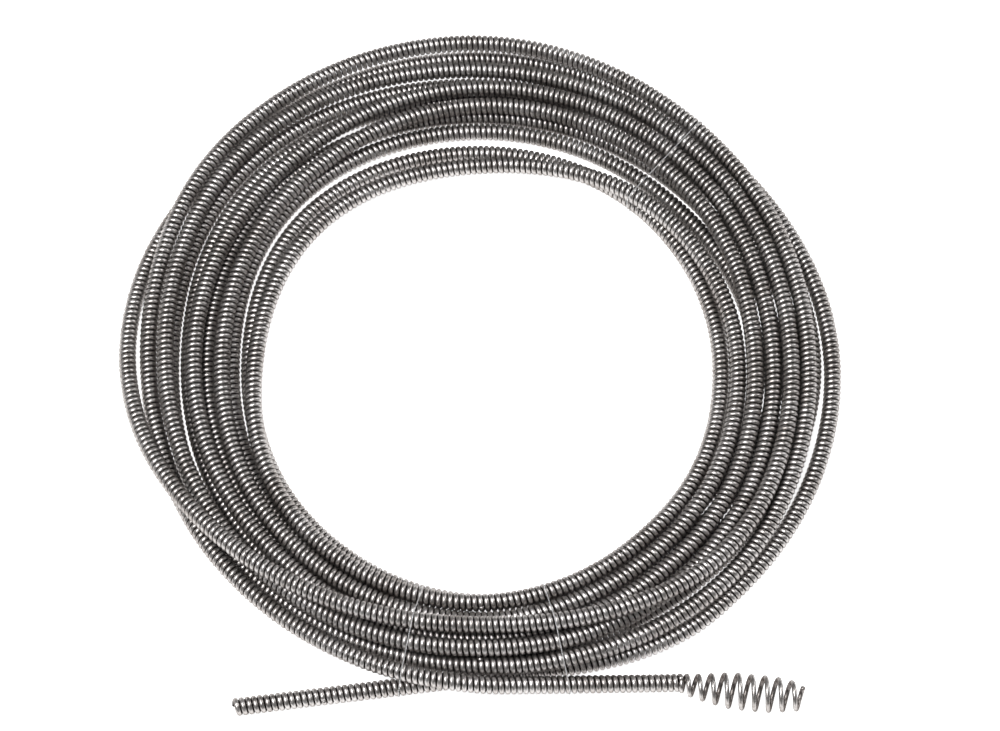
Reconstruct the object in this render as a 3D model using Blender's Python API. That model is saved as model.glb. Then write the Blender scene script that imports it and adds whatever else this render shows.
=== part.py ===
"""Drain auger: one long spring-wire cable wound in a flat coil and held by three thread ties.

The working end opens into a bulb of wide windings and the other end is cut plain. Metres, +Z up,
the coil lies flat on Z = 0 and both free ends leave it at the front, on the -Y side.
"""
import math

import bpy
import numpy as np

NAME = "drain_auger"

# Driving sizes
CABLE_D = 0.00635            # outside diameter of the cable, nominal 1/4 in
WIRE_D = 0.0016             # wire that the cable and the bulb are wound from
GAP = 0.00014                # free space between neighbouring turns
REST_Z = 0.0005              # the cable lies on its ties, just above the ground
TIE_D = 0.0003               # clear thread
TIE_CLEAR = 0.0002
CENTRE = (-0.0004, 0.00035)         # middle of the box round the whole object, from the coil's centre

CABLE_R = CABLE_D / 2
LOW_Z = REST_Z + CABLE_R     # height of a cable axis in the lowest layer
LAYER = 0.86 * CABLE_D       # rise from one layer to the next

# Where each turn lies at the eight stations 270, 225, 180 ... 315 degrees, going clockwise:
# radius in millimetres, and layer (0 is the lowest).
LANES = [
    [(122.8, 1), (119.0, .8), (119.2, 0), (128.3, 1), (130.2, 1), (120.8, 1.2), (115.4, 1.1), (119.2, .7)],
    [(115.6, 1), (113.0, 0), (111.0, 0), (118.2, 0), (115.1, 0), (115.7, 0), (118.5, 0), (112.3, 0)],
    [(112.1, 0), (106.4, 0), (104.5, 0), (111.7, 0), (108.5, 0), (109.0, 0), (111.8, 0), (105.6, 0)],
    [(105.4, 0), (99.9, 0), (98.0, 0), (103.2, 0), (102.0, 0), (102.0, 0), (105.1, 0), (98.9, 0)],
    [(98.7, 0), (93.4, 0), (89.4, 0), (95.3, 0), (95.4, 0), (94.9, 0), (98.3, 0), (92.4, 0)],
    [(92.0, 0), (87.0, 0), (82.9, 0), (87.6, 0), (86.0, 0), (86.0, 0), (86.0, 0), (90.2, 1.1)],
    [(94.8, 1), (90.4, 1.1), (80.5, 1), (80.4, .5), (78.6, .5), (86.2, 1.2), (92.3, 0), (96.6, 1.1)],
    [(101.5, 1), (97.3, 1.1), (92.4, 1), (96.8, 1.2), (102.8, 1.2), (100.9, 1.1), (96.6, 1.1), (102.8, 1.1)],
    [(108.3, 1), (104.2, 1.1), (102.6, 1), (105.8, 1.1), (110.4, 1.2), (107.7, 1.1), (102.8, 1.1), (108.6, 1.1)],
    [(112.0, 2), (112.6, 1.3), (113.2, 1.1), (122.1, 1), (118.6, 1.1), (114.6, 1.1), (109.4, 1.1), (113.6, 1.8)],
    [(105.0, 2.1), (112.2, 2.3), (125.2, 0), (125.6, 0), (126.9, 0), (122.4, 0), (125.0, 0), (123.7, 0)],
]
STEP = 9.0                   # degrees between points of a turn
PER = int(45 / STEP)         # points from one station to the next
TURN = 8 * PER               # points in a turn

# Both free ends run straight. Each line is given by its distance from the coil's centre and the
# direction of its nearest point. The tail lies under the coil, the lead rises over the tail.
LEAD_LINE = (0.1231, 272.0)
TAIL_LINE = (0.1178, 277.4)
LEAD_STARTS = (297, 288, 279)
LEAD_LAYERS = (0, 0, 0.4)
TAIL_BEND = (0.1238, 0.1222)     # radii where the last turn runs into the tail's line
TAIL_STOPS = (288, 279, 270, 261, 252, 243)
TAIL_END = (-0.0832, -0.1296)

# Bulb and the hinges that stand for the bending of the free ends
BULB_ROOT = (0.0680, -0.1208, LOW_Z)
BULB_TIP = (0.1096, -0.1208, LOW_Z)
BULB_SAG = 0.0057            # how far the tip has drifted forwards
BULB_OD = 0.0127
BULB_COILS = 9.7
BULB_CLOSED = 0.62           # windings at the root that have hardly opened yet
BULB_LEAN = 0.12             # slope of the windings, which turn with the drift
BULB_START = 0.0022          # from the cable's end to the middle of the first open winding
LEAD_SWING_X = 0.046
LEAD_LIFT_X = 0.057
TAIL_SWING_X = -0.046
TAIL_LIFT_X = -0.060
HINGE_GAP = 0.0003
TIE_ANGLES = (49.6, 257.5, 283.5)

SIDES = 8
END_GAP = 0.0003


def line_radius(line, angle):
    """Distance from the coil's centre to a straight line, looking along one angle."""
    return line[0] / math.cos(math.radians(angle - line[1]))


def spline(points, per):
    """A smooth run through points, with `per` steps between each pair."""
    p = np.array(points, float)
    p = np.vstack([2 * p[0] - p[1], p, 2 * p[-1] - p[-2]])
    out = []
    for a, b, c, d in zip(p[:-3], p[1:-2], p[2:-1], p[3:]):
        for t in np.arange(per) / per:
            out.append(0.5 * (2 * b + (c - a) * t + (2 * a - 5 * b + 4 * c - d) * t ** 2
                              + (3 * b - a - 3 * c + d) * t ** 3))
    out.append(p[-2])
    return np.array(out)


def press_apart(p, free, part):
    """Push turns that lie too close away from each other, `part` of the way to each next point."""
    last = len(p) if part == 0 else len(p) - 1
    here = p[:last] if part == 0 else p[:-1] * (1 - part) + p[1:] * part
    slope = np.gradient(here[:, 0]) / (here[:, 0] * math.radians(STEP))
    move = np.zeros_like(here)
    for k in range(TURN, last, TURN):
        apart = here[k:] - here[:-k]
        dist = np.hypot(apart[:, 0], apart[:, 1]) + 1e-9
        want = (CABLE_D + GAP) * np.hypot(1, slope[k:] - slope[:-k])
        push = 0.5 * np.clip(want - dist, 0, None) / dist
        share = free[k:last] + free[:last - k] + 1e-9
        move[:-k] -= apart * (push * free[:last - k] / share)[:, None]
        move[k:] += apart * (push * free[k:last] / share)[:, None]
    p[:last] += move * free[:last, None]
    if part:
        p[1:] += move * free[1:, None]


def settle():
    """Let the turns settle against each other: angles in degrees, and radius and height in metres."""
    flat = [(r / 1000, layer) for row in LANES for r, layer in row]
    lead = [(line_radius(LEAD_LINE, a), n) for a, n in zip(LEAD_STARTS, LEAD_LAYERS)]
    tail = [(r, 0) for r in TAIL_BEND] + [(line_radius(TAIL_LINE, a), 0) for a in TAIL_STOPS]
    aim = np.vstack([lead, spline(flat, PER), tail])
    aim[:, 1] = LOW_Z + aim[:, 1] * LAYER
    angle = LEAD_STARTS[0] - STEP * np.arange(len(aim))
    free = np.ones(len(aim))
    free[-len(tail):] = 0
    p = aim.copy()
    for i in range(900):
        if i < 780:
            p += 0.02 * (aim - p) * free[:, None]
            bend = p - aim * (1, 0)
            p[1:-1] += 0.24 * (bend[:-2] + bend[2:] - 2 * bend[1:-1]) * free[1:-1, None]
        for part in (0, 0.5):
            press_apart(p, free, part)
        p[:, 1] = np.maximum(p[:, 1], LOW_Z)
        p[free == 0] = aim[free == 0]
    return angle, p


def route():
    """The cable's centreline from the bulb's root to the plain end, and the index of the first lane."""
    angle, p = settle()
    a = np.radians(angle)
    coil = np.stack([p[:, 0] * np.cos(a), p[:, 0] * np.sin(a), p[:, 1]], 1)
    return np.vstack([BULB_ROOT, coil, (*TAIL_END, LOW_Z)])


def at_x(path, x):
    """The point where a free end's centreline passes x, and the index of the point after it."""
    for i in range(len(path) - 1):
        low, high = sorted((path[i, 0], path[i + 1, 0]))
        if low <= x <= high:
            t = (x - path[i, 0]) / (path[i + 1, 0] - path[i, 0])
            return path[i] + t * (path[i + 1] - path[i]), i + 1
    raise ValueError("the cable never passes x = %g" % x)


def unit(v):
    return np.asarray(v, float) / np.linalg.norm(v)


def pull_back(path, start=0.0, end=0.0):
    """A polyline with its two ends shortened."""
    path = np.array(path, float)
    path[0] += start * unit(path[1] - path[0])
    path[-1] += end * unit(path[-2] - path[-1])
    return path


def frames(path, ends=(None, None)):
    """A tangent and two cross directions at every point, carried along without twist.
    `ends` holds a direction for the first or last cut where it isn't square to the bar."""
    path = np.asarray(path)
    step = np.diff(path, axis=0)
    step /= np.linalg.norm(step, axis=1)[:, None]
    tangent = np.vstack([step[:1], step[:-1] + step[1:], step[-1:]])
    tangent /= np.linalg.norm(tangent, axis=1)[:, None]
    if ends[0] is not None:
        tangent[0] = ends[0]
    if ends[1] is not None:
        tangent[-1] = ends[1]
    side = np.array((0.0, 0.0, 1.0))
    out = []
    for t in tangent:
        side = unit(side - t * np.dot(side, t))
        out.append((t, side, np.cross(t, side)))
    return out


def make_object(name, verts, faces, material, origin):
    mesh = bpy.data.meshes.new(name)
    shift = np.array([origin[0] - CENTRE[0], origin[1] - CENTRE[1], origin[2]])
    local = np.asarray(verts) - np.asarray(origin)
    mesh.from_pydata([tuple(v) for v in local], [], faces)
    mesh.materials.append(material)
    mesh.validate()
    obj = bpy.data.objects.new(name, mesh)
    obj.location = shift
    parts.objects.link(obj)
    return obj


def tube(name, path, radius, material, origin=(0, 0, 0), sides=SIDES, round_start=False, ends=(None, None)):
    """A closed round bar along a path. A round start is a half ball about the first point."""
    verts = []
    rings = []
    frame = frames(path, ends)
    stations = [(path[i], frame[i], 0.0, 1.0) for i in range(len(path))]
    if round_start:
        ball = [(path[0], frame[0], -math.sin(math.radians(b)), math.cos(math.radians(b))) for b in (60, 30)]
        stations = ball + stations
    for point, (t, u, v), back, size in stations:
        rings.append(len(verts))
        for s in range(sides):
            a = 2 * math.pi * s / sides
            verts.append(point + t * back * radius + size * radius * (u * math.cos(a) + v * math.sin(a)))
    faces = []
    for low, high in zip(rings[:-1], rings[1:]):
        for s in range(sides):
            n = (s + 1) % sides
            faces.append((low + s, low + n, high + n, high + s))
    first = [rings[0] + s for s in range(sides)]
    if round_start:
        verts.append(path[0] - frame[0][0] * radius)
        faces += [(len(verts) - 1, first[(s + 1) % sides], first[s]) for s in range(sides)]
    else:
        faces.append(tuple(reversed(first)))
    faces.append(tuple(rings[-1] + s for s in range(sides)))
    return make_object(name, verts, faces, material, origin)


def ring_tube(name, path, normal, radius, material, sides=6):
    """A closed loop of round thread in one plane."""
    path = np.asarray(path)
    count = len(path)
    verts = []
    for i in range(count):
        t = unit(path[(i + 1) % count] - path[i - 1])
        out = np.cross(t, normal)
        for s in range(sides):
            a = 2 * math.pi * s / sides
            verts.append(path[i] + radius * (normal * math.cos(a) + out * math.sin(a)))
    faces = []
    for i in range(count):
        low, high = i * sides, ((i + 1) % count) * sides
        for s in range(sides):
            n = (s + 1) % sides
            faces.append((low + s, low + n, high + n, high + s))
    return make_object(name, verts, faces, material, (0, 0, 0))


def material(name, colour, roughness, metallic):
    mat = bpy.data.materials.new(name)
    mat.use_nodes = True
    shader = mat.node_tree.nodes["Principled BSDF"]
    shader.inputs["Base Color"].default_value = (*colour, 1.0)
    shader.inputs["Roughness"].default_value = roughness
    shader.inputs["Metallic"].default_value = metallic
    return mat


def steel(name):
    return material(name, (0.46, 0.45, 0.44), 0.32, 1.0)


def bulb_path(per=14):
    """The open windings, right-handed, and the direction away from their axis at each point. They
    widen downwards and forwards, so the bulb rests level with the cable below and lines up with it
    behind, and they draw in at the tip."""
    root, tip = np.array(BULB_ROOT), np.array(BULB_TIP)
    along_bulb = unit(tip - root)
    up = np.array((0.0, 0.0, 1.0))
    front = np.cross(along_bulb, up)
    inner = (CABLE_D - WIRE_D) / 2
    wider = (BULB_OD - CABLE_D) / 2
    length = np.linalg.norm(tip - root) - BULB_START - WIRE_D / 2
    n = np.arange(int(BULB_COILS * per) + 1)[:, None] / per
    t = n / BULB_COILS
    opened = n - BULB_CLOSED * (1 - np.exp(-n / BULB_CLOSED))
    opened = opened / (BULB_COILS - BULB_CLOSED)
    grow = np.minimum(n / 4.35, 1.0) - 0.2 * np.maximum(0.0, n - 7.4)
    middle = root + along_bulb * (BULB_START + length * (0.95 * opened + 0.05 * opened ** 2))
    middle = middle + wider * grow * up + BULB_SAG * (2 * t - t * t) * front
    side = np.cross(unit(along_bulb + BULB_LEAN * front), up)
    away = up * np.cos(2 * np.pi * n) + side * np.sin(2 * np.pi * n)
    return middle + (inner + wider * grow) * away, away


def crossings(path, angle):
    """Radius and height of every strand where it passes one angle round the coil."""
    a = math.radians(angle)
    across = np.array((-math.sin(a), math.cos(a)))
    outward = np.array((math.cos(a), math.sin(a)))
    out = []
    for p, q in zip(path[:-1], path[1:]):
        u, v = p[:2] @ across, q[:2] @ across
        if u * v <= 0 and u != v:
            hit = p + (q - p) * u / (u - v)
            if hit[:2] @ outward > 0:
                out.append((hit[:2] @ outward, hit[2]))
    return out


def hull(points):
    """Corners of the tight outline round points in a plane, anticlockwise."""
    points = sorted(points)

    def half(run):
        chain = []
        for p in run:
            while len(chain) > 1 and ((chain[-1][0] - chain[-2][0]) * (p[1] - chain[-2][1])
                                      - (chain[-1][1] - chain[-2][1]) * (p[0] - chain[-2][0])) <= 0:
                chain.pop()
            chain.append(p)
        return chain[:-1]
    return half(points) + half(points[::-1])


def tie(name, path, angle, thread):
    """A thread pulled tight round every strand at one angle."""
    reach = CABLE_R + TIE_CLEAR + TIE_D / 2
    around = [2 * math.pi * i / 24 for i in range(24)]
    disc = [(r + reach / math.cos(math.pi / 24) * math.cos(b), z + reach * math.sin(b))
            for r, z in crossings(path, angle) for b in around]
    a = math.radians(angle)
    loop = [(r * math.cos(a), r * math.sin(a), z) for r, z in hull(disc)]
    return ring_tube(name, loop, np.array((-math.sin(a), math.cos(a), 0.0)), TIE_D / 2, thread)


for old in list(bpy.data.objects):
    bpy.data.objects.remove(old, do_unlink=True)
parts = bpy.data.collections.new(NAME)
bpy.context.scene.collection.children.link(parts)

cable = route()
FIRST = 1 + len(LEAD_STARTS)                     # index of the first lane's start, at 270 degrees

swing_lead, after_swing = at_x(cable, LEAD_SWING_X)
lift_lead, after_lift = at_x(cable, LEAD_LIFT_X)
back = cable[::-1]
swing_tail, n = at_x(back, TAIL_SWING_X)
before_swing = len(cable) - 1 - n
lift_tail, n = at_x(back, TAIL_LIFT_X)
before_lift = len(cable) - 1 - n
stop = CABLE_R + HINGE_GAP

# Coil: one solid for each turn, laid end to end and cut in the same plane as its neighbour
starts = [FIRST + TURN * i for i in range(len(LANES))]
cuts = [unit(unit(cable[i + 1] - cable[i]) + unit(cable[i] - cable[i - 1])) for i in starts]
for i, start in enumerate(starts):
    ends = (cuts[i] if i else None, cuts[i + 1] if i + 1 < len(cuts) else None)
    if i == 0:
        run = pull_back(np.vstack([swing_lead, cable[after_swing:start + TURN + 1]]), stop, END_GAP)
    elif i == len(LANES) - 1:
        run = pull_back(np.vstack([cable[start:before_swing + 1], swing_tail]), 0, stop)
    else:
        run = pull_back(cable[start:start + TURN + 1], 0, END_GAP)
    tube("cable_turn_%02d" % (i + 1), run, CABLE_R, steel("steel_turn_%02d" % (i + 1)), ends=ends)

# Lead: two lengths of cable between the coil and the bulb
inner = np.vstack([swing_lead, cable[after_lift:after_swing][::-1], lift_lead])
tube("lead_inner", pull_back(inner, 0, stop), CABLE_R, steel("steel_lead_inner"), swing_lead, round_start=True)
outer = np.vstack([lift_lead, cable[1:after_lift][::-1], cable[0]])
tube("lead_outer", outer, CABLE_R, steel("steel_lead_outer"), lift_lead, round_start=True)
tube("bulb_auger", bulb_path()[0], WIRE_D / 2, steel("steel_bulb"), BULB_ROOT)

# Tail: two lengths of cable out to the plain cut end
inner = np.vstack([swing_tail, cable[before_swing + 1:before_lift + 1], lift_tail])
tube("tail_inner", pull_back(inner, 0, stop), CABLE_R, steel("steel_tail_inner"), swing_tail, round_start=True)
outer = np.vstack([lift_tail, cable[before_lift + 1:]])
tube("tail_outer", outer, CABLE_R, steel("steel_tail_outer"), lift_tail, round_start=True)

# Ties
for i, angle in enumerate(TIE_ANGLES):
    thread = material("nylon_%d" % (i + 1), (0.80, 0.82, 0.84), 0.25, 0.0)
    tie("thread_tie_%d" % (i + 1), cable, angle, thread)
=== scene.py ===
"""Drain auger: the finished look. Every winding of the cable is modelled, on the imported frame."""
import math

import bpy
import numpy as np
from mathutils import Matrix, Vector


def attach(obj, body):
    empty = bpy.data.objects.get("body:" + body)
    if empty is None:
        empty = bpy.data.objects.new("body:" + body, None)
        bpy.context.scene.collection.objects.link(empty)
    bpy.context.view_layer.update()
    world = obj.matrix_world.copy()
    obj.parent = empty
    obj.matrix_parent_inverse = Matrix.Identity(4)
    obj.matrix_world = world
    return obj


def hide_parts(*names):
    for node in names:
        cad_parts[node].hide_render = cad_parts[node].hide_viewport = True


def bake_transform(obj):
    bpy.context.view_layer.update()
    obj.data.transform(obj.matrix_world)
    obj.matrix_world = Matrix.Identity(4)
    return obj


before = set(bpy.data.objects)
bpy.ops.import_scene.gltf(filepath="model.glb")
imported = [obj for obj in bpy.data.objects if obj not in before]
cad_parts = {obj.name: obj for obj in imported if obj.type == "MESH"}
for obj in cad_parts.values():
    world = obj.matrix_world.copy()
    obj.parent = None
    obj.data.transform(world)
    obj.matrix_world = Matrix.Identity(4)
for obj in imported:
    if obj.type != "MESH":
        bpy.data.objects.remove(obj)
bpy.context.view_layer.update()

# ---------------------------------------------------------------- sizes, as in the part's source
CABLE_D = 0.00635            # outside diameter of the cable
WIRE_D = 0.0016              # wire that the cable and the bulb are wound from
PITCH = 0.00206              # from one winding of the cable to the next
PRESSED = 1.19               # width over thickness of the wire where it is closely wound
GAP = 0.00014                # least room between two turns
REST_Z = 0.0005              # the cable's underside above the ground, where the ties pass beneath
CENTRE = (-0.0004, 0.00035)  # middle of the whole object, seen from the centre of the turns
LOW_Z = REST_Z + CABLE_D / 2    # height of the middle line of a cable that lies on the ground
LAYER = 0.86 * CABLE_D       # height from one layer of turns to the next

# Each turn from the bulb's side to the plain end's: its radius in mm and its layer, at 270 degrees
# (the front) and then every 45 degrees clockwise
LANES = [
    [(122.8, 1), (119.0, .8), (119.2, 0), (128.3, 1), (130.2, 1), (120.8, 1.2), (115.4, 1.1), (119.2, .7)],
    [(115.6, 1), (113.0, 0), (111.0, 0), (118.2, 0), (115.1, 0), (115.7, 0), (118.5, 0), (112.3, 0)],
    [(112.1, 0), (106.4, 0), (104.5, 0), (111.7, 0), (108.5, 0), (109.0, 0), (111.8, 0), (105.6, 0)],
    [(105.4, 0), (99.9, 0), (98.0, 0), (103.2, 0), (102.0, 0), (102.0, 0), (105.1, 0), (98.9, 0)],
    [(98.7, 0), (93.4, 0), (89.4, 0), (95.3, 0), (95.4, 0), (94.9, 0), (98.3, 0), (92.4, 0)],
    [(92.0, 0), (87.0, 0), (82.9, 0), (87.6, 0), (86.0, 0), (86.0, 0), (86.0, 0), (90.2, 1.1)],
    [(94.8, 1), (90.4, 1.1), (80.5, 1), (80.4, .5), (78.6, .5), (86.2, 1.2), (92.3, 0), (96.6, 1.1)],
    [(101.5, 1), (97.3, 1.1), (92.4, 1), (96.8, 1.2), (102.8, 1.2), (100.9, 1.1), (96.6, 1.1), (102.8, 1.1)],
    [(108.3, 1), (104.2, 1.1), (102.6, 1), (105.8, 1.1), (110.4, 1.2), (107.7, 1.1), (102.8, 1.1), (108.6, 1.1)],
    [(112.0, 2), (112.6, 1.3), (113.2, 1.1), (122.1, 1), (118.6, 1.1), (114.6, 1.1), (109.4, 1.1), (113.6, 1.8)],
    [(105.0, 2.1), (112.2, 2.3), (125.2, 0), (125.6, 0), (126.9, 0), (122.4, 0), (125.0, 0), (123.7, 0)],
]
STEP = 9.0                   # degrees from one point of a turn to the next
PER = int(45 / STEP)         # points between two places of the table
TURN = 8 * PER               # points in one turn

# The straight free ends: distance from the centre, and the angle at which each passes closest to it
LEAD_LINE = (0.1231, 272.0)
TAIL_LINE = (0.1178, 277.4)
LEAD_STARTS = (297, 288, 279)            # angles of the lead's points
LEAD_LAYERS = (0, 0, 0.4)
TAIL_BEND = (0.1238, 0.1222)             # radii of the points that bring the last turn inwards
TAIL_STOPS = (288, 279, 270, 261, 252, 243)      # angles of the tail's points
TAIL_END = (-0.0832, -0.1296)

BULB_ROOT = (0.0680, -0.1208, LOW_Z)
BULB_TIP = (0.1096, -0.1208, LOW_Z)
BULB_SAG = 0.0057            # how far the bulb's axis comes forward by its tip
BULB_OD = 0.0127             # outside diameter of the open windings
BULB_COILS = 9.7             # windings from root to tip
BULB_CLOSED = 0.62           # windings over which the wire goes from closed to fully spaced
BULB_LATE = 0.05             # how much the spacing still grows towards the tip
BULB_FULL = 4.35             # windings until the bulb is at its widest
BULB_NARROWS = 7.4           # windings until it draws in again
BULB_DRAW = 0.2              # how fast it draws in, as a part of its widening for each winding
BULB_LEAN = 0.12             # how far the windings lean forward

# Along x: where the free ends' pieces meet, and a span of x for each of the four pieces
LEAD_CUTS = (0.034, 0.0515)
TAIL_CUTS = (-0.038, -0.053)
LEAD_BENDS = ((0.0405, 0.0512), (0.0518, 0.0625))
TAIL_BENDS = ((-0.0405, -0.0515), (-0.0545, -0.0655))
TIES = ("thread_tie_1", "thread_tie_2", "thread_tie_3")

# How the turns settle against each other
ROUNDS = 900
PULLED = 780                 # rounds in which the turns are still pulled to the table
PULL = 0.02
SMOOTH = 0.24

ROUND = 14      # points in one winding
SIDES = 8       # sides of the wire
BULB_ROUND = 36                      # the same for the open windings
BULB_SIDES = 14

VIEW_ELEVATION = 64.0
VIEW_DISTANCE = 1.04
VIEW_AIM = (0.0069, 0.00025)
VIEW_LENS = 104.4
FLOOR_HALF = 4.0


def line_radius(line, angle):
    """Distance from the coil's centre to a straight line, looking along one angle."""
    return line[0] / math.cos(math.radians(angle - line[1]))


def spline(points, per):
    """A smooth run through points, with `per` steps between each pair."""
    p = np.array(points, float)
    p = np.vstack([2 * p[0] - p[1], p, 2 * p[-1] - p[-2]])
    out = []
    for a, b, c, d in zip(p[:-3], p[1:-2], p[2:-1], p[3:]):
        for t in np.arange(per) / per:
            out.append(0.5 * (2 * b + (c - a) * t + (2 * a - 5 * b + 4 * c - d) * t ** 2
                              + (3 * b - a - 3 * c + d) * t ** 3))
    out.append(p[-2])
    return np.array(out)


def press_apart(p, free, part):
    """Push turns that lie too close away from each other, `part` of the way to each next point."""
    last = len(p) if part == 0 else len(p) - 1
    here = p[:last] if part == 0 else p[:-1] * (1 - part) + p[1:] * part
    slope = np.gradient(here[:, 0]) / (here[:, 0] * math.radians(STEP))
    move = np.zeros_like(here)
    for k in range(TURN, last, TURN):
        apart = here[k:] - here[:-k]
        dist = np.hypot(apart[:, 0], apart[:, 1]) + 1e-9
        want = (CABLE_D + GAP) * np.hypot(1, slope[k:] - slope[:-k])
        push = 0.5 * np.clip(want - dist, 0, None) / dist
        share = free[k:last] + free[:last - k] + 1e-9
        move[:-k] -= apart * (push * free[:last - k] / share)[:, None]
        move[k:] += apart * (push * free[k:last] / share)[:, None]
    p[:last] += move * free[:last, None]
    if part:
        p[1:] += move * free[1:, None]


def settle():
    """Let the turns settle against each other: angles in degrees, and radius and height in metres."""
    flat = [(r / 1000, layer) for row in LANES for r, layer in row]
    lead = [(line_radius(LEAD_LINE, a), n) for a, n in zip(LEAD_STARTS, LEAD_LAYERS)]
    tail = [(r, 0) for r in TAIL_BEND] + [(line_radius(TAIL_LINE, a), 0) for a in TAIL_STOPS]
    aim = np.vstack([lead, spline(flat, PER), tail])
    aim[:, 1] = LOW_Z + aim[:, 1] * LAYER
    angle = LEAD_STARTS[0] - STEP * np.arange(len(aim))
    free = np.ones(len(aim))
    free[-len(tail):] = 0
    p = aim.copy()
    for i in range(ROUNDS):
        if i < PULLED:
            p += PULL * (aim - p) * free[:, None]
            bend = p - aim * (1, 0)
            p[1:-1] += SMOOTH * (bend[:-2] + bend[2:] - 2 * bend[1:-1]) * free[1:-1, None]
        for part in (0, 0.5):
            press_apart(p, free, part)
        p[:, 1] = np.maximum(p[:, 1], LOW_Z)
        p[free == 0] = aim[free == 0]
    return angle, p


def route():
    """The cable's centreline from the bulb's root to the plain end."""
    angle, p = settle()
    a = np.radians(angle)
    coil = np.stack([p[:, 0] * np.cos(a), p[:, 0] * np.sin(a), p[:, 1]], 1)
    return np.vstack([BULB_ROOT, coil, (*TAIL_END, LOW_Z)])


def unit(v):
    """A vector of length one in the same direction."""
    return np.asarray(v, float) / np.linalg.norm(v)


def bulb_path(per):
    """The open windings, right-handed, and the direction away from their axis at each point. They
    widen upwards from the cable's underside, their axis comes forward along the bulb, and they draw in
    at the tip."""
    root, tip = np.array(BULB_ROOT), np.array(BULB_TIP)
    along_bulb = unit(tip - root)
    up = np.array((0.0, 0.0, 1.0))
    front = np.cross(along_bulb, up)
    inner = (CABLE_D - WIRE_D) / 2
    wider = (BULB_OD - CABLE_D) / 2
    length = np.linalg.norm(tip - root) - WIRE_D / 2
    n = np.arange(int(BULB_COILS * per) + 1)[:, None] / per
    t = n / BULB_COILS
    opened = n - BULB_CLOSED * (1 - np.exp(-n / BULB_CLOSED))
    opened = opened / (BULB_COILS - BULB_CLOSED)
    grow = np.minimum(n / BULB_FULL, 1.0) - BULB_DRAW * np.maximum(0.0, n - BULB_NARROWS)
    spaced = (1 - BULB_LATE) * opened + BULB_LATE * opened ** 2
    middle = root + along_bulb * (length * spaced)
    middle = middle + wider * grow * up + BULB_SAG * (2 * t - t * t) * front
    side = np.cross(unit(along_bulb + BULB_LEAN * front), up)
    away = up * np.cos(2 * np.pi * n) + side * np.sin(2 * np.pi * n)
    return middle + (inner + wider * grow) * away, away


# ---------------------------------------------------------------- meshes
def lengths(path):
    """How far along a path each of its points is."""
    return np.concatenate([[0], np.cumsum(np.linalg.norm(np.diff(path, axis=0), axis=1))])


def along(path, s, at):
    """Points of a polyline at the distances `at` along it."""
    return np.stack([np.interp(at, s, path[:, k]) for k in range(3)], 1)


def transport(path):
    """Tangents and one cross direction along a path, carried without twist."""
    tangent = np.gradient(path, axis=0)
    tangent /= np.linalg.norm(tangent, axis=1)[:, None]
    side = np.empty_like(tangent)
    n = np.array((0.0, 0.0, 1.0))
    for i, t in enumerate(tangent):
        n = n - t * (n @ t)
        n /= np.sqrt(n @ n)
        side[i] = n
    return tangent, side


def wire_mesh(name, line, outward, sides, material, wide=1.0, travelled=0.0):
    """A wire along `line`, `wide` times as wide as it is thick. `outward` points away from the cable's
    axis at every point. The mesh carries how far each point faces outwards, and where it lies along
    and round the wire, for the material."""
    t = np.gradient(line, axis=0)
    t /= np.linalg.norm(t, axis=1)[:, None]
    u = outward - t * (outward * t).sum(1)[:, None]
    u /= np.linalg.norm(u, axis=1)[:, None]
    v = np.cross(t, u)
    a = 2 * np.pi * np.arange(sides) / sides
    ring = u[:, None] * np.cos(a)[None, :, None] + v[:, None] * wide * np.sin(a)[None, :, None]
    verts = (line[:, None] + ring * WIRE_D / 2).reshape(-1, 3)
    count = len(line)
    i = np.arange(count - 1)[:, None] * sides
    k = np.arange(sides)[None]
    n = (k + 1) % sides
    quads = np.stack([i + k, i + n, i + sides + n, i + sides + k], -1).reshape(-1, 4)
    mesh = bpy.data.meshes.new(name)
    faces = quads.tolist() + [list(range(sides))[::-1], [(count - 1) * sides + j for j in range(sides)]]
    mesh.from_pydata(verts.tolist(), [], faces)
    mesh.shade_smooth()
    face_out = np.tile(np.cos(a), count).astype(np.float32)
    mesh.attributes.new("outward", "FLOAT", "POINT").data.foreach_set("value", face_out)
    run = np.repeat(travelled + lengths(line), sides)
    drawn = np.stack([run, np.tile(np.cos(a), count) * WIRE_D, np.tile(np.sin(a), count) * WIRE_D], 1)
    mesh.attributes.new("drawn", "FLOAT_VECTOR", "POINT").data.foreach_set(
        "vector", drawn.astype(np.float32).ravel())
    mesh.materials.append(material)
    obj = bpy.data.objects.new(name, mesh)
    bpy.context.scene.collection.objects.link(obj)
    return obj


# ---------------------------------------------------------------- materials
def node(tree, kind, **inputs):
    """A new node with some of its inputs set."""
    n = tree.nodes.new(kind)
    for key, value in inputs.items():
        n.inputs[key.replace("_", " ")].default_value = value
    return n


def attribute(tree, name):
    """A node that reads one attribute of the mesh."""
    n = tree.nodes.new("ShaderNodeAttribute")
    n.attribute_name = name
    return n


def ramp(tree, source, stops):
    """Colours for a value, from a list of places and colours."""
    r = tree.nodes.new("ShaderNodeValToRGB")
    while len(r.color_ramp.elements) < len(stops):
        r.color_ramp.elements.new(0.5)
    for e, (at, colour) in zip(r.color_ramp.elements, stops):
        e.position = at
        e.color = (*colour, 1.0)
    tree.links.new(source, r.inputs["Fac"])
    return r.outputs["Color"]


def multiply(tree, a, b):
    """Two colours multiplied."""
    m = tree.nodes.new("ShaderNodeMix")
    m.data_type = "RGBA"
    m.blend_type = "MULTIPLY"
    m.inputs["Factor"].default_value = 1.0
    tree.links.new(a, m.inputs["A"])
    tree.links.new(b, m.inputs["B"])
    return m.outputs["Result"]


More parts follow.
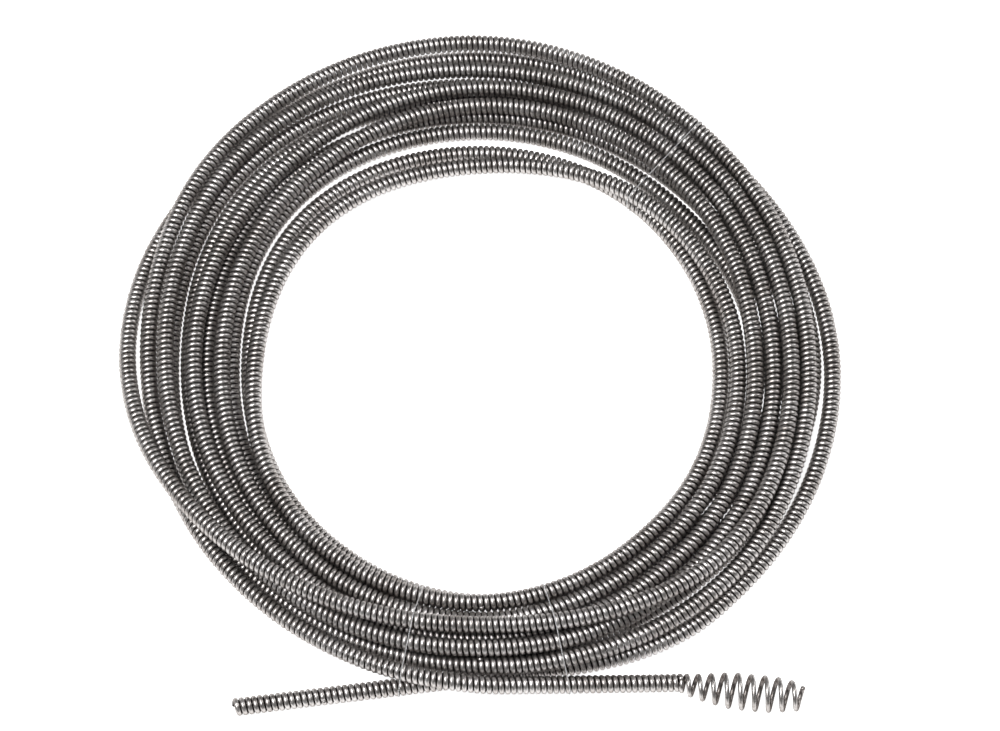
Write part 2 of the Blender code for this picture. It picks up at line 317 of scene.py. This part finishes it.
def spring_steel(name, bright=1.0, groove_shade=0.06):
    """Drawn spring wire, its colour with painted shade: full bright where the wire faces outwards, darker at its
    sides and darkest where the windings face inwards.
    """
    mat = bpy.data.materials.new(name)
    mat.use_nodes = True
    tree = mat.node_tree
    shader = tree.nodes["Principled BSDF"]
    place = tree.nodes.new("ShaderNodeTexCoord").outputs["Object"]
    drawn = attribute(tree, "drawn")
    outward = attribute(tree, "outward")

    stain = node(tree, "ShaderNodeTexNoise", Scale=55.0, Detail=4.0, Roughness=0.6)
    tree.links.new(place, stain.inputs["Vector"])
    tint = ramp(tree, stain.outputs["Fac"], [
        (0.30, (0.40 * bright, 0.375 * bright, 0.36 * bright)),
        (0.50, (0.52 * bright, 0.50 * bright, 0.49 * bright)),
        (0.72, (0.60 * bright, 0.585 * bright, 0.58 * bright))])
    speck = node(tree, "ShaderNodeTexNoise", Scale=900.0, Detail=3.0, Roughness=0.65)
    tree.links.new(place, speck.inputs["Vector"])
    spots = ramp(tree, speck.outputs["Fac"], [(0.34, (0.62, 0.60, 0.58)), (0.52, (1.0, 1.0, 1.0))])
    stretch = node(tree, "ShaderNodeVectorMath")
    stretch.operation = "MULTIPLY"
    stretch.inputs[1].default_value = (220.0, 4200.0, 4200.0)
    tree.links.new(drawn.outputs["Vector"], stretch.inputs[0])
    lines = node(tree, "ShaderNodeTexNoise", Scale=1.0, Detail=2.0, Roughness=0.55)
    tree.links.new(stretch.outputs["Vector"], lines.inputs["Vector"])
    scratch = ramp(tree, lines.outputs["Fac"], [(0.36, (0.78, 0.77, 0.76)), (0.56, (1.0, 1.0, 1.0))])
    # painted shade: the outward attribute darkens the base colour where the wire faces inwards, towards the
    # cable's axis, and at its sides
    shift = node(tree, "ShaderNodeMapRange")
    shift.inputs["From Min"].default_value = -1.0
    tree.links.new(outward.outputs["Fac"], shift.inputs["Value"])
    shade = ramp(tree, shift.outputs["Result"], [
        (0.30, (groove_shade, groove_shade * 0.96, groove_shade * 0.94)), (0.62, (0.55, 0.53, 0.52)), (0.86, (1.0, 1.0, 1.0))])

    colour = multiply(tree, multiply(tree, multiply(tree, tint, spots), scratch), shade)
    tree.links.new(colour, shader.inputs["Base Color"])
    shader.inputs["Metallic"].default_value = 1.0
    shader.inputs["Specular Tint"].default_value = (0.30, 0.29, 0.285, 1.0)
    rough = node(tree, "ShaderNodeMapRange")
    rough.inputs["To Min"].default_value = 0.26
    rough.inputs["To Max"].default_value = 0.46
    tree.links.new(speck.outputs["Fac"], rough.inputs["Value"])
    tree.links.new(rough.outputs["Result"], shader.inputs["Roughness"])
    bump = node(tree, "ShaderNodeBump", Strength=0.22, Distance=0.00006)
    tree.links.new(lines.outputs["Fac"], bump.inputs["Height"])
    tree.links.new(bump.outputs["Normal"], shader.inputs["Normal"])
    return mat


def clear_thread(name):
    """Fine nylon line, clear and a little milky."""
    mat = bpy.data.materials.new(name)
    mat.use_nodes = True
    tree = mat.node_tree
    shader = tree.nodes["Principled BSDF"]
    place = tree.nodes.new("ShaderNodeTexCoord").outputs["Object"]
    milk = node(tree, "ShaderNodeTexNoise", Scale=700.0, Detail=2.0)
    tree.links.new(place, milk.inputs["Vector"])
    colour = ramp(tree, milk.outputs["Fac"], [(0.35, (0.72, 0.73, 0.74)), (0.65, (0.90, 0.90, 0.90))])
    tree.links.new(colour, shader.inputs["Base Color"])
    shader.inputs["Roughness"].default_value = 0.18
    shader.inputs["Transmission Weight"].default_value = 0.55
    shader.inputs["IOR"].default_value = 1.53
    return mat


# ---------------------------------------------------------------- camera
camera = bpy.data.objects.new("camera", bpy.data.cameras.new("camera"))
camera.data.lens = VIEW_LENS
camera.data.sensor_width = 36.0
camera.data.clip_end = 20.0
tilt = math.radians(VIEW_ELEVATION)
camera.location = (VIEW_AIM[0], VIEW_AIM[1] - VIEW_DISTANCE * math.cos(tilt),
                   VIEW_DISTANCE * math.sin(tilt))
camera.rotation_euler = (math.pi / 2 - tilt, 0, 0)
bpy.context.scene.collection.objects.link(camera)
bpy.context.scene.camera = camera

# ---------------------------------------------------------------- cable
cable = route() - np.array((*CENTRE, 0.0))
FIRST = 1 + len(LEAD_STARTS)         # index of the first turn's start, at 270 degrees
axis = spline(cable, 16)
axis_s = lengths(axis)
knots = np.concatenate([[0], axis_s[16::16]])         # distance along the cable of every CAD point


def s_at_x(x, low, high):
    """Distance along the cable where a free end passes x, between two distances."""
    inside = (axis_s >= low) & (axis_s <= high)
    s, xs = axis_s[inside], axis[inside, 0]
    order = np.argsort(xs)
    return float(np.interp(x, xs[order], s[order]))


steel = spring_steel("spring_steel")
fine_s = np.arange(0, axis_s[-1] + PITCH / 40, PITCH / ROUND)
fine_s[-1] = min(fine_s[-1], axis_s[-1])
fine = along(axis, axis_s, fine_s)
tangent, normal = transport(fine)
binormal = np.cross(tangent, normal)
phase = 2 * np.pi * fine_s / PITCH
radial = normal * np.cos(phase)[:, None] + binormal * np.sin(phase)[:, None]
wire_line = fine + radial * (CABLE_D - WIRE_D) / 2
wire_run = lengths(wire_line)


def cable_piece(name, start, end):
    """The windings between two distances along the cable."""
    low = int(round(start / PITCH * ROUND))
    high = min(int(round(end / PITCH * ROUND)), len(fine) - 1) + 1
    obj = wire_mesh(name, wire_line[low:high], radial[low:high], SIDES, steel, PRESSED, wire_run[low])
    return obj, fine[low:high:4]


coil_cuts = [s_at_x(LEAD_CUTS[0], 0, knots[FIRST])]
coil_cuts += [knots[FIRST + TURN * i] for i in range(1, len(LANES))]
coil_cuts += [s_at_x(TAIL_CUTS[0], knots[-4], knots[-1])]
for i in range(len(LANES)):
    obj, path = cable_piece("windings_%02d" % (i + 1), coil_cuts[i], coil_cuts[i + 1])
    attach(obj, "coil")
    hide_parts("cable_turn_%02d" % (i + 1))

near_s = s_at_x(LEAD_CUTS[1], 0, knots[FIRST])
lead_far, _ = cable_piece("windings_lead_far", 0.0, near_s)
lead_near, _ = cable_piece("windings_lead_near", near_s, coil_cuts[0])
tail_s = s_at_x(TAIL_CUTS[1], knots[-4], knots[-1])
tail_near, _ = cable_piece("windings_tail_near", coil_cuts[-1], tail_s)
tail_far, _ = cable_piece("windings_tail_far", tail_s, axis_s[-1])


def bend(obj, a, b, bend_x, stretch, part):
    """A free length of cable, left as it lies: its mesh is fixed in place and the CAD part it stands for is
    hidden. `bend_x` is not used.
    """
    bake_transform(obj)
    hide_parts(part)


front = (0.0, knots[FIRST])          # the stretches in which the free ends lie
rear = (knots[-4], knots[-1])
bend(lead_near, "coil", "lead_near", LEAD_BENDS[0], front, "lead_inner")
bend(lead_far, "lead_near", "lead_far", LEAD_BENDS[1], front, "lead_outer")
bend(tail_near, "coil", "tail_near", TAIL_BENDS[0], rear, "tail_inner")
bend(tail_far, "tail_near", "tail_far", TAIL_BENDS[1], rear, "tail_outer")

# ---------------------------------------------------------------- bulb
# the bulb's windings get a lighter painted shade where they face inwards
bulb_steel = spring_steel("spring_steel_bulb", bright=1.0, groove_shade=0.6)
points, away = bulb_path(BULB_ROUND)
shift = np.array((*CENTRE, 0.0))
bulb = wire_mesh("bulb_windings", points - shift, away, BULB_SIDES, bulb_steel)
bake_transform(bulb)
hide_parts("bulb_auger")

# ---------------------------------------------------------------- ties
nylon = clear_thread("clear_thread")
for name in TIES:
    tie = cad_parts[name]
    tie.data.materials.clear()
    tie.data.materials.append(nylon)

# ---------------------------------------------------------------- studio
def area_light(name, place, size, power):
    """A white rectangular lamp that faces the middle of the coil."""
    lamp = bpy.data.lights.new(name, "AREA")
    lamp.shape = "RECTANGLE"
    lamp.size, lamp.size_y = size
    lamp.energy = power
    obj = bpy.data.objects.new(name, lamp)
    obj.location = place
    obj.rotation_euler = (-Vector(place)).to_track_quat("-Z", "Y").to_euler()
    bpy.context.scene.collection.objects.link(obj)


mesh = bpy.data.meshes.new("floor")
corners = [(x * FLOOR_HALF, y * FLOOR_HALF, 0) for x, y in ((-1, -1), (1, -1), (1, 1), (-1, 1))]
mesh.from_pydata(corners, [], [(0, 1, 2, 3)])
floor = bpy.data.objects.new("floor", mesh)
paper = bpy.data.materials.new("paper")
paper.use_nodes = True
white = paper.node_tree.nodes["Principled BSDF"].inputs
white["Base Color"].default_value = (0.93, 0.93, 0.93, 1)
white["Roughness"].default_value = 0.9
white["Emission Color"].default_value = (1, 1, 1, 1)
white["Emission Strength"].default_value = 0.8
mesh.materials.append(paper)
bpy.context.scene.collection.objects.link(floor)

world = bpy.data.worlds.new("studio")
world.use_nodes = True
sky = world.node_tree.nodes["Background"].inputs
sky["Color"].default_value = (1, 1, 1, 1)
sky["Strength"].default_value = 0.20
bpy.context.scene.world = world
area_light("key", (-0.40, -0.15, 1.30), (0.70, 0.70), 22.0)
area_light("side", (1.1, 0.5, 0.9), (0.35, 0.8), 6.0)
bpy.context.scene.view_settings.view_transform = "Standard"
